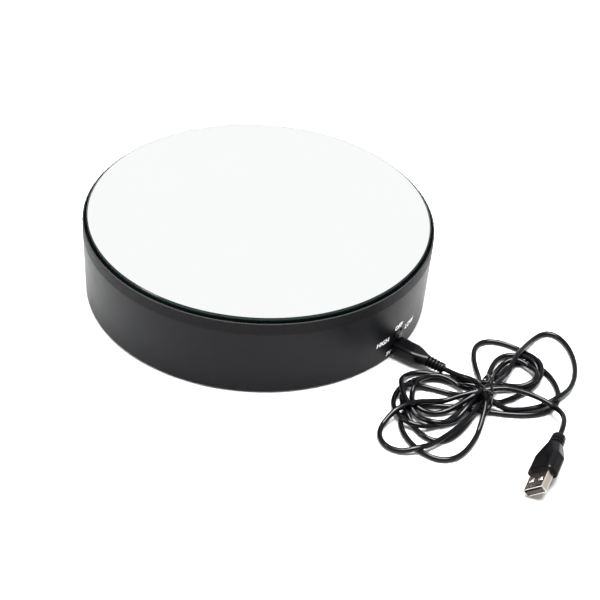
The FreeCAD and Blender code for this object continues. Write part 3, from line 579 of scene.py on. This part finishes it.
def drum_finish(colour):
    """Satin plastic, rougher on the upright band than on the tapered wall below it, with painted shade darkening
    the band and a painted highlight lightening the top of the rim, both standing in for the way the light falls
    on them."""
    material = plastic("drum_finish", colour, 0.38, grain=3200.0, depth=0.000009, drift=0.35, dust=0.012,
                       specular=0.10)
    tree = material.node_tree
    shader = tree.nodes["Principled BSDF"]
    skin = shader.inputs["Base Color"].links[0].from_socket
    height = parts_of(tree, object_place(tree))["Z"]
    # Painted shade: over the band the colour is mixed towards a darker one, standing in for the way light falls
    # on the upright band.
    band = maths(tree, "GREATER_THAN", height, BAND_FROM)
    # Painted highlight: above this height the top of the rim is coloured paler, standing in for the light it
    # catches.
    rim_highlight = maths(tree, "GREATER_THAN", height, RIM_HIGHLIGHT_FROM)
    band_shaded = mixed(tree, maths(tree, "MULTIPLY", band, BAND_COVER), skin, BAND_SHADE_COLOUR)
    wire(tree, (mixed(tree, rim_highlight, band_shaded, RIM_HIGHLIGHT_COLOUR), shader.inputs["Base Color"]))
    satin = shader.inputs["Roughness"].links[0].from_socket
    wire(tree, (maths(tree, "MULTIPLY_ADD", band, BAND_ROUGHER, satin), shader.inputs["Roughness"]))
    return material


def mirror_finish(silver, edge):
    """Silvered glass, and its cut edge in green: a mask from the way a face looks and its radius parts the flat
    faces from the edge."""
    flat_from, edge_roughness, swirl_share = 0.9, 0.10, 0.25
    material, tree, shader = blank_material("mirror_glass_finish")
    place = object_place(tree)
    axes = parts_of(tree, place)
    flat = maths(tree, "ABSOLUTE", parts_of(tree, facing(tree))["Z"])
    flat = maths(tree, "GREATER_THAN", flat, flat_from)
    # The silver stops a hair short of the edge, and leaves a thin dark line of clear glass round it.
    plan = maths(tree, "SQRT", maths(tree, "ADD", maths(tree, "POWER", axes["X"], 2.0),
                                     maths(tree, "POWER", axes["Y"], 2.0)))
    flat = maths(tree, "MULTIPLY", flat, maths(tree, "LESS_THAN", plan, MIRROR_HIGH[0] - CLEAR_BORDER))
    up_edge = maths(tree, "SUBTRACT", axes["Z"], MIRROR_LOW[2])
    up_edge = maths(tree, "DIVIDE", up_edge, MIRROR_HIGH[2] - MIRROR_LOW[2], clamp=True)
    swirl = noise(tree, place, scale=90.0, detail=3.0)
    # Painted shade: the ramp darkens the cut edge low down and at its top arris, and leaves it green between.
    band = tree.nodes.new("ShaderNodeValToRGB")
    ramp = band.color_ramp
    while len(ramp.elements) < len(EDGE_SHADE_STOPS):
        ramp.elements.new(0.5)
    for element, (at, gain) in zip(ramp.elements, EDGE_SHADE_STOPS):
        element.position = at
        element.color = (*[min(1.0, gain * channel) for channel in edge], 1)
    wire(tree, (up_edge, band.inputs["Fac"]))
    skin = placed(tree, "mould_grain", Drift=0.01, Roughness=0.02, Roughness_Drift=0.01, Grain_Scale=300.0)
    skin.inputs["Colour"].default_value = (*silver, 1)
    uneven = maths(tree, "MULTIPLY", swirl, swirl_share)
    edge_colour = mixed(tree, uneven, band.outputs["Color"], (*edge, 1))
    colour = mixed(tree, flat, edge_colour, skin.outputs["Colour"])
    rough = maths(tree, "MULTIPLY_ADD", maths(tree, "SUBTRACT", 1.0, flat), edge_roughness,
                  skin.outputs["Roughness"])
    dusty = placed(tree, "fine_dust", Amount=0.01, Speck_Scale=1500.0)
    dusty.inputs["Dust"].default_value = (0.8, 0.8, 0.8, 1)
    wire(tree, (colour, dusty.inputs["Colour"]), (dusty.outputs["Colour"], shader.inputs["Base Color"]),
         (flat, shader.inputs["Metallic"]), (rough, shader.inputs["Roughness"]))
    shader.inputs["Specular IOR Level"].default_value = 0.12
    return material


# -------------------- the lead

def hank_plan(samples):
    """Plan of the whole hank. Each turn is a Gerono lobe: along its heading it goes out and back as a half
    sine, across it as a whole sine plus a bend that grows with the square of the way out, while its foot slides
    over the waist from one place to the next. The first lobe begins a little further out than the others, where
    the lead-in joins it."""
    plan = []
    for k, (heading, reach, width, bend) in enumerate(TURNS):
        t = np.linspace(FIRST_SHY if k == 0 else SHY, 1 - SHY, samples)
        out = np.sin(np.pi * t)
        side = width / 2 * np.sin(2 * np.pi * t) + bend * out ** 2
        place = WAIST_PLACES[k] + (WAIST_PLACES[k + 1] - WAIST_PLACES[k]) * smooth(t)
        c, s = math.cos(math.radians(heading)), math.sin(math.radians(heading))
        plan.append(WAIST + place[:, None] * ACROSS_WAIST
                    + np.stack([c * reach * out - s * side, s * reach * out + c * side], axis=1))
    return np.concatenate(plan) * MM


def lay(plan, order, diameter, hump, floor, given):
    """Heights of strands laid down in order, none under its given height. Where a point passes over an earlier
    strand it lies d away in space, a nested diameter: z = z' + sqrt(d^2 - gap^2). Each rise spreads along the
    strand as a long low hump, a bell curve of its distance, and the heights are worked out until they settle."""
    steps = np.linalg.norm(np.diff(plan, axis=0), axis=1)
    run = np.concatenate([[0.0], np.cumsum(steps)])
    gap = np.linalg.norm(plan[:, None] - plan[None], axis=2)
    apart = np.abs(run[:, None] - run[None])
    over = (gap < diameter) & (apart > APART * diameter) & (order[:, None] > order[None])
    rise = np.sqrt(np.clip((NESTING * diameter) ** 2 - gap ** 2, 0, None))
    bell = np.exp(-(apart / hump) ** 2)
    height = np.full(len(plan), floor)
    for _ in range(ROUNDS):
        need = np.where(over, height[None] + rise, floor).max(axis=1)
        need = np.maximum(need, given)
        height = floor + ((need - floor)[None] * bell).max(axis=1)
    ease = np.exp(-(apart / (EASING * hump)) ** 2)
    return (ease / ease.sum(axis=1, keepdims=True)) @ height


def lead_route(diameter, count, hump):
    """The control points of the lead from plug to plug: its loose ends and the turns of the hank between."""
    floor = diameter / 2 + LEAD_CLEARANCE
    hank = hank_plan(count * FINENESS)
    lead_in, lead_out = np.array(LEAD_IN), np.array(LEAD_OUT)
    plan = np.concatenate([hank, lead_out[:, :2]])
    order = np.arange(len(plan), dtype=float)
    # The first quarter of the first turn comes from the plug over the waist, on top of everything.
    order[:count] += len(plan)
    given = np.full(len(plan), floor)
    given[len(hank):] = lead_out[:, 2]
    height = lay(plan, order, diameter, hump, floor, given)
    points = np.column_stack([hank, height[:len(hank)]])[::FINENESS]
    return np.concatenate([lead_in, points, lead_out])


# -------------------- the studio

def studio_world(horizon, sky, ceiling):
    """A plain white room: its light grows from the horizon up the walls, to the soft light in the ceiling."""
    world = bpy.data.worlds.new("studio")
    world.use_nodes = True
    tree = world.node_tree
    background = tree.nodes["Background"]
    background.inputs["Color"].default_value = (1, 1, 1, 1)
    looked_at = parts_of(tree, tree.nodes.new("ShaderNodeTexCoord").outputs["Generated"])["Z"]

    def step(low, high, bottom, top):
        node = tree.nodes.new("ShaderNodeMapRange")
        node.interpolation_type = "SMOOTHSTEP"
        for label, value in (("From Min", low), ("From Max", high), ("To Min", bottom), ("To Max", top)):
            node.inputs[label].default_value = value
        wire(tree, (looked_at, node.inputs["Value"]))
        return node.outputs["Result"]

    strength = maths(tree, "ADD", step(0.0, WALLS_FULL, horizon, sky),
                     step(CEILING_FROM, CEILING_FULL, 0.0, ceiling - sky))
    wire(tree, (strength, background.inputs["Strength"]))
    return world


# -------------------- operators

class STAND_OT_studio(bpy.types.Operator):
    """Camera, plain pale floor and soft studio light"""
    bl_idname = "display_stand.studio"
    bl_label = "Set the studio"

    def execute(self, context):
        settings = context.scene.stand_studio
        camera = added("camera", bpy.data.cameras.new("camera"))
        camera.data.lens = settings.focal_length
        camera.data.sensor_width = 36.0
        camera.data.clip_start = 0.01
        camera.data.clip_end = 50.0
        camera.location = settings.camera_place
        heading = Vector(settings.camera_heading)
        turned = heading.to_track_quat("-Z", "Y") @ Euler((0, 0, settings.camera_roll)).to_quaternion()
        camera.rotation_euler = turned.to_euler()
        context.scene.camera = camera

        context.scene.world = studio_world(settings.horizon, settings.sky, settings.ceiling)
        context.scene.view_settings.view_transform = "Standard"

        # Each lamp looks at the middle of the stand's foot.
        for name, place, size in LAMPS:
            lamp = bpy.data.lights.new(name, "AREA")
            lamp.shape = "DISK"
            lamp.size = size
            lamp.energy = getattr(settings, name + "_power")
            light = added(name, lamp)
            light.location = place
            light.rotation_euler = (-Vector(place)).to_track_quat("-Z", "Y").to_euler()

        # The floor is flat: rings of quads, turned to face up, round one small face in the middle.
        ring = np.linspace(0, 2 * np.pi, FLOOR_SPOKES, endpoint=False)
        reach = np.array(FLOOR_RINGS)[:, None]
        points = np.stack([reach * np.cos(ring), reach * np.sin(ring),
                           np.zeros((len(reach), FLOOR_SPOKES))], axis=-1).reshape(-1, 3)
        faces = [face[::-1] for face in ring_faces(len(reach), FLOOR_SPOKES)]
        mesh = bpy.data.meshes.new("floor")
        mesh.from_pydata(points.tolist(), [], faces + [list(range(FLOOR_SPOKES))])
        mesh.validate()
        floor = added("floor", mesh)
        material, tree, shader = blank_material("floor_paper")
        skin = placed(tree, "mould_grain", Colour=(*settings.floor_colour, 1), Drift=0.01, Roughness=0.9,
                      Roughness_Drift=0.02, Grain_Scale=400.0)
        wire(tree, (skin.outputs["Colour"], shader.inputs["Base Color"]),
             (skin.outputs["Roughness"], shader.inputs["Roughness"]))
        shader.inputs["Specular IOR Level"].default_value = 0.1
        mesh.materials.append(material)
        return {"FINISHED"}


class STAND_OT_lead(bpy.types.Operator):
    """The USB lead, one smooth spline from plug to plug through its hank"""
    bl_idname = "display_stand.lead"
    bl_label = "Lay the lead"

    def execute(self, context):
        settings = context.scene.stand_lead
        route = lead_route(settings.diameter, settings.points_per_turn, settings.hump)
        curve = bpy.data.curves.new("lead_cord", "CURVE")
        curve.dimensions = "3D"
        spline = curve.splines.new("NURBS")
        spline.points.add(len(route) - 1)
        spline.points.foreach_set("co", np.column_stack([route, np.ones(len(route))]).ravel())
        spline.order_u = 3
        spline.use_endpoint_u = True
        spline.resolution_u = 4
        curve.bevel_depth = settings.diameter / 2
        curve.bevel_resolution = 3
        curve.use_fill_caps = True
        curve.materials.append(lead_jacket(settings.jacket_colour))
        cord = added("lead_cord", curve)
        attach(cord, "usb_lead")
        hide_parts("lead_in_cord", "cord_hank", "lead_out_cord")
        return {"FINISHED"}


class STAND_OT_tie(bpy.types.Operator):
    """The wire tie round the waist of the hank, its two ends twisted together"""
    bl_idname = "display_stand.tie"
    bl_label = "Wind the tie"

    def execute(self, context):
        wire_size = context.scene.stand_lead.tie_wire
        across = np.array((*ACROSS_WAIST, 0.0))
        lean = np.array((TIE_LEAN * ACROSS_WAIST[1], -TIE_LEAN * ACROSS_WAIST[0], 0.0))
        centre = np.array((*(WAIST * MM), TIE_HEIGHT / 2))
        # Once round: a rounded oblong in the plane across the waist, its top leaning along the strands.
        turn = np.linspace(math.radians(TIE_FROM), math.radians(TIE_FROM + TIE_ROUND), 90)
        width = TIE_WIDTH / 2 * squared(np.cos(turn), TIE_CORNERS)
        height = (TIE_HEIGHT / 2 - wire_size / 2) * squared(np.sin(turn), TIE_CORNERS)
        loop = centre + width[:, None] * across + height[:, None] * UP + (height[:, None] / TIE_HEIGHT) * lean
        # Then the two ends: a pair of wires that wind round each other and flare apart at their tips.
        t = np.linspace(0, 1, 60)
        root = (loop[0] + loop[-1]) / 2
        out = np.array(TAIL_ALONG)
        out /= np.linalg.norm(out)
        first = np.cross(out, UP) / np.linalg.norm(np.cross(out, UP))
        second = np.cross(out, first)
        flare = wire_size * (TAIL_APART + TAIL_FLARE * np.clip(t - FLARED_FROM, 0, None))
        parts = [swept(loop, wire_size / 2, across_to(loop), sides=10)]
        for start in (0.0, np.pi):
            angle = start + 2 * np.pi * TAIL_TWISTS * np.clip(t, 0, TWISTED_TO)
            tail = (root + t[:, None] * TAIL_LENGTH * out - (TAIL_DROOP * TAIL_LENGTH * t ** 2)[:, None] * UP
                    + (flare * np.cos(angle))[:, None] * first + (flare * np.sin(angle))[:, None] * second)
            parts.append(swept(tail, wire_size / 2, first, sides=10))
        points, faces = joined(parts)
        sleeve = plastic("tie_sleeve_finish", (0.0015, 0.0015, 0.0018), 0.2, grain=1500.0, drift=0.4,
                         dust=0.005, specular=0.14)
        tie = make_piece("twist_tie", points, faces, sleeve, "usb_lead")
        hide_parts("hank_tie")
        return {"FINISHED"}


class STAND_OT_micro_plug(bpy.types.Operator):
    """The overmould of the micro plug and its ribbed strain relief"""
    bl_idname = "display_stand.micro_plug"
    bl_label = "Mould the micro plug"

    def execute(self, context):
        low, high = (np.array(corner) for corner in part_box("micro_plug_body"))
        middle, length = (low[2] + high[2]) / 2, high[1] - low[1]
        # Stations along the plug. Its half width and half height run straight, then neck in as a smooth step to
        # the relief, whose grooves are a squared cosine wave on a slow taper, with none behind the last rib.
        # Each section is a superellipse, x = w c^(2/n) and z = h s^(2/n) with the signs of c and s kept: boxy at
        # the face, and round at the relief, where n is 2.
        back = np.concatenate([np.linspace(0.0, FACE_EASE, 7), np.linspace(0.001, RELIEF_FROM, 50),
                               np.linspace(RELIEF_FROM + 0.0001, length, 120)])
        neck = smooth(np.clip((back - NECK_FROM) / (RELIEF_FROM - NECK_FROM), 0, 1))
        taper = np.clip((back - RELIEF_FROM) / (length - RELIEF_FROM), 0, 1)
        wave = 0.5 - 0.5 * np.cos(2 * np.pi * RIBS * taper)
        groove = GROOVE_DEPTH * wave ** 2 * (taper < 1 - 0.5 / RIBS)
        relief = RELIEF_RADIUS - RELIEF_TAPER * taper - groove
        eased = 1 - FACE_NARROWER * np.clip(1 - back / FACE_EASE, 0, 1) ** 2
        wide = ((1 - neck) * (high[0] - low[0]) / 2 + neck * relief) * eased
        tall = ((1 - neck) * (high[2] - low[2]) / 2 + neck * relief) * eased
        power = (2 / (FACE_POWER - (FACE_POWER - 2) * neck))[:, None]
        turn = np.linspace(0, 2 * np.pi, 64, endpoint=False)
        points = np.stack([wide[:, None] * squared(np.cos(turn), power),
                           np.broadcast_to(high[1] - back[:, None], (len(back), len(turn))),
                           middle + tall[:, None] * squared(np.sin(turn), power)], axis=-1)
        plug = make_piece("micro_plug_mould", points, capped(len(back), len(turn)), overmould(),
                          "usb_lead")
        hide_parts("micro_plug_body")
        return {"FINISHED"}


class STAND_OT_words(bpy.types.Operator):
    """The words printed on the wall round the switch and the socket"""
    bl_idname = "display_stand.words"
    bl_label = "Print the words"

    def execute(self, context):
        settings = context.scene.stand_look
        ink = printed_ink(settings.ink_colour)
        for name, text, middle, height, size in WORDS:
            curve = bpy.data.curves.new(name + "_outline", "FONT")
            curve.body = text
            curve.align_x = "CENTER"
            curve.align_y = "CENTER"
            curve.size = settings.word_height * size / CAPITAL_SHARE
            curve.resolution_u = 6
            curve.offset = INK_SPREAD
            curve.extrude = settings.ink_thickness / 2
            flat = added(name + "_flat", curve)
            context.view_layer.update()
            mesh = bpy.data.meshes.new_from_object(flat.evaluated_get(context.evaluated_depsgraph_get()))
            bpy.data.objects.remove(flat)
            co = np.zeros(len(mesh.vertices) * 3)
            mesh.vertices.foreach_get("co", co)
            co = co.reshape(-1, 3)
            # Rolled on to the wall: along the word is an arc, up is up, and the ink's thickness is outwards.
            up = height + co[:, 1]
            radius = wall_radius(up) + settings.ink_thickness / 2 + INK_GAP + co[:, 2]
            angle = math.radians(middle) + (co[:, 0] + SLANT * co[:, 1]) / radius
            rolled = np.stack([radius * np.sin(angle), -radius * np.cos(angle), up], axis=1)
            mesh.vertices.foreach_set("co", rolled.ravel())
            mesh.update()
            mesh.materials.clear()
            mesh.materials.append(ink)
            word = added(name, mesh)
            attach(word, "stand")
        return {"FINISHED"}


class STAND_OT_contacts(bpy.types.Operator):
    """The four gilt contacts on the tongue of the USB-A plug, and the sprung dimples in its shell"""
    bl_idname = "display_stand.contacts"
    bl_label = "Fit the plug's contacts"

    def execute(self, context):
        across, normal = plug_axes()
        low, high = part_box("usb_a_tongue")
        middle = (np.array(low) + np.array(high)) / 2
        gilt = metal("gilt_contact_finish", (0.86, 0.62, 0.26), 0.22, tarnish=(0.5, 0.3, 0.12), amount=0.3)
        parts = []
        # Each contact is a strip whose height over the tongue is a flattened sine arch along its length.
        t = np.linspace(0, 1, 14)
        arch = CONTACT_ARCH * np.sin(np.pi * t) ** 0.4
        for place, reach in CONTACTS:
            path = (middle + (t[:, None] - 0.5) * reach * PLUG_ALONG + place * across
                    + normal * (TONGUE_HALF + arch)[:, None])
            parts.append(swept(path, CONTACT_HALF_WIDTH, across, sides=8, flat=0.35))
        points, faces = joined(parts)
        make_piece("usb_a_contacts", points, faces, gilt, "usb_lead")
        bright = metal("bright_spring_finish", (0.92, 0.90, 0.88), 0.3, amount=0.1)
        parts = []
        # Each dimple is a short pillow: its width is a flattened sine arch along its length.
        t = np.linspace(0.02, 0.98, 16)
        pillow = DIMPLE_HALF_WIDTH * np.sin(np.pi * t) ** 0.3
        for side in (-1.0, 1.0):
            path = (PLUG_TIP + (-DIMPLE_BACK + (t[:, None] - 0.5) * DIMPLE_LENGTH) * PLUG_ALONG
                    + side * DIMPLE_SIDE * across + DIMPLE_UP * normal)
            parts.append(swept(path, pillow, normal, sides=16, flat=0.55))
        points, faces = joined(parts)
        make_piece("usb_a_springs", points, faces, bright, "usb_lead")
        return {"FINISHED"}


class STAND_OT_drum_finish(bpy.types.Operator):
    """Satin moulded drum, platter, base, feet, switch and socket surrounds"""
    bl_idname = "display_stand.drum_finish"
    bl_label = "Finish the drum"

    def execute(self, context):
        colour = tuple(context.scene.stand_look.drum_colour)
        dress(drum_finish(colour), "casing", "base_cover")
        dress(plastic("platter_finish", (0.009, 0.009, 0.010), 0.5, grain=1800.0, drift=0.3), "platter")
        dress(plastic("foot_rubber_finish", (0.014, 0.014, 0.014), 0.75, grain=900.0, depth=0.00004,
                      drift=0.5, dust=0.2, specular=0.35), "rubber_feet")
        dress(plastic("switch_finish", (0.012, 0.012, 0.012), 0.45, grain=3000.0, drift=0.3),
              "switch_body", "switch_knob")
        dress(plastic("contact_block_finish", (0.02, 0.02, 0.02), 0.5), "socket_tongue", "usb_a_tongue")
        return {"FINISHED"}


class STAND_OT_mirror_finish(bpy.types.Operator):
    """Silvered glass with a green cut edge, and the tape under it"""
    bl_idname = "display_stand.mirror_finish"
    bl_label = "Finish the mirror"

    def execute(self, context):
        look = context.scene.stand_look
        dress(mirror_finish(tuple(look.mirror_colour), tuple(look.glass_edge_colour)), "mirror_disc")
        dress(plastic("tape_finish", (0.62, 0.60, 0.55), 0.85, grain=1200.0, depth=0.00005, drift=0.2),
              "mirror_tape")
        return {"FINISHED"}


class STAND_OT_plug_finish(bpy.types.Operator):
    """Satin overmoulds and plated shells of the two plugs"""
    bl_idname = "display_stand.plug_finish"
    bl_label = "Finish the plugs"

    def execute(self, context):
        dress(overmould(), "usb_a_body")
        plate = metal("nickel_plate_finish", (0.66, 0.60, 0.55), 0.2, tarnish=(0.42, 0.30, 0.22), amount=0.45,
                      lines=700.0, stretch=(0.2, 1.0, 1.0))
        dress(plate, "usb_a_shell", "micro_plug_shell", "usb_socket")
        return {"FINISHED"}


class STAND_OT_works_finish(bpy.types.Operator):
    """Gears, motor, bushes, screws, rollers and circuit inside the drum"""
    bl_idname = "display_stand.works_finish"
    bl_label = "Finish the works"

    def execute(self, context):
        steel = metal("screw_steel_finish", (0.60, 0.60, 0.62), 0.32)
        ground = metal("ground_steel_finish", (0.72, 0.72, 0.74), 0.18, lines=1600.0, stretch=(1.0, 1.0, 1.0))
        finishes = {
            "screw_steel": steel, "ground_steel": ground,
            "bronze": metal("oiled_bronze_finish", (0.62, 0.42, 0.20), 0.4, tarnish=(0.25, 0.14, 0.05),
                            amount=0.5),
            "nylon": plastic("nylon_finish", (0.80, 0.79, 0.73), 0.45, drift=0.06),
            "acetal": plastic("acetal_finish", (0.86, 0.86, 0.83), 0.35, drift=0.05),
            "gearbox_plastic": plastic("gearbox_finish", (0.055, 0.055, 0.06), 0.5, grain=1500.0),
            "motor_steel": metal("motor_can_finish", (0.68, 0.68, 0.69), 0.3, lines=500.0,
                                 stretch=(1.0, 1.0, 0.1)),
            "motor_plastic": plastic("motor_cap_finish", (0.78, 0.78, 0.75), 0.5, drift=0.06),
            "ferrite": plastic("ferrite_finish", (0.05, 0.05, 0.05), 0.8, grain=800.0, depth=0.00004),
            "lamination": metal("lamination_finish", (0.30, 0.30, 0.31), 0.5, lines=2600.0,
                                stretch=(0.05, 0.05, 1.0)),
            "roller_plastic": plastic("roller_finish", (0.66, 0.66, 0.63), 0.5, drift=0.1),
            "wire_sleeve": plastic("red_sleeve_finish", (0.50, 0.04, 0.03), 0.35, drift=0.15),
            "board_laminate": plastic("solder_mask_finish", (0.02, 0.15, 0.06), 0.3, grain=700.0,
                                      drift=0.4, coat=0.5),
            "component_plastic": plastic("chip_finish", (0.03, 0.03, 0.03), 0.55, grain=2000.0),
        }
        for node, slot in SLOT_OF.items():
            if slot in finishes:
                dress(finishes[slot], node)
        return {"FINISHED"}


class STAND_PT_tools(bpy.types.Panel):
    """The stand's makers, in the order they are used"""
    bl_label = "Display stand"
    bl_idname = "STAND_PT_tools"
    bl_space_type = "VIEW_3D"
    bl_region_type = "UI"
    bl_category = "Display stand"

    def draw(self, context):
        scene = context.scene
        for settings in (scene.stand_look, scene.stand_lead, scene.stand_studio):
            for key in settings.__annotations__:
                self.layout.prop(settings, key)
        for operator in OPERATORS:
            self.layout.operator(operator.bl_idname)


OPERATORS = (STAND_OT_studio, STAND_OT_micro_plug, STAND_OT_tie, STAND_OT_lead, STAND_OT_words,
             STAND_OT_contacts, STAND_OT_drum_finish, STAND_OT_mirror_finish, STAND_OT_plug_finish,
             STAND_OT_works_finish)
CLASSES = (StandSettings, LeadSettings, StudioSettings, *OPERATORS, STAND_PT_tools)


def register():
    for cls in CLASSES:
        bpy.utils.register_class(cls)
    bpy.types.Scene.stand_look = bpy.props.PointerProperty(type=StandSettings)
    bpy.types.Scene.stand_lead = bpy.props.PointerProperty(type=LeadSettings)
    bpy.types.Scene.stand_studio = bpy.props.PointerProperty(type=StudioSettings)


def unregister():
    del bpy.types.Scene.stand_look, bpy.types.Scene.stand_lead, bpy.types.Scene.stand_studio
    for cls in reversed(CLASSES):
        bpy.utils.unregister_class(cls)


def main():
    register()
    bpy.ops.display_stand.studio()
    bpy.ops.display_stand.micro_plug()
    bpy.ops.display_stand.tie()
    bpy.ops.display_stand.lead()
    bpy.ops.display_stand.words()
    bpy.ops.display_stand.contacts()
    bpy.ops.display_stand.drum_finish()
    bpy.ops.display_stand.mirror_finish()
    bpy.ops.display_stand.plug_finish()
    bpy.ops.display_stand.works_finish()


if __name__ == "__main__":
    main()
